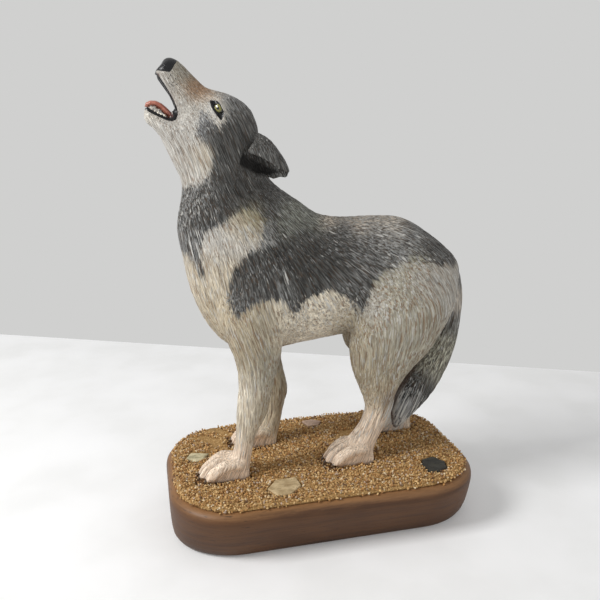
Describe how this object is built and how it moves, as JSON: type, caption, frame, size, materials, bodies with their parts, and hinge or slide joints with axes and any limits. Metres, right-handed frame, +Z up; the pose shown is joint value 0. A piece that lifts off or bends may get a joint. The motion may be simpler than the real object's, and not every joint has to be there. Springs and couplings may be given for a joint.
{
  "type": "wolf figurine",
  "caption": "Standing wolf with its head thrown back and jaws open, carved and painted, on a rounded wooden base covered with glued grit and flat stones.",
  "frame": {"origin": "centre of the base's flat underside", "axes": "+Z up to the raised nose, -X the way the wolf faces, -Y its left side"},
  "size_m": [0.1432, 0.0864, 0.2018],
  "materials": {
    "painted_coat": "carved and hand-painted, matt, grey, cream and near-black fur strokes",
    "eye": "glossy painted ball, yellow with a black pupil",
    "base_wood": "satin brown paint, brushed lengthways",
    "grit": "coarse golden grit, glued down",
    "beige_stone": "rough split stone",
    "green_stone": "rough split slate",
    "dark_stone": "rough split slate",
    "pink_stone": "rough split stone"
  },
  "bodies": {
    "root": {"wolf": "painted_coat", "eye_left": "eye", "eye_right": "eye", "base_block": "base_wood", "sand_bed": "grit", "stone_front": "beige_stone", "stone_left": "green_stone", "stone_right": "dark_stone", "stone_rear": "pink_stone"}
  },
  "joints": []
}
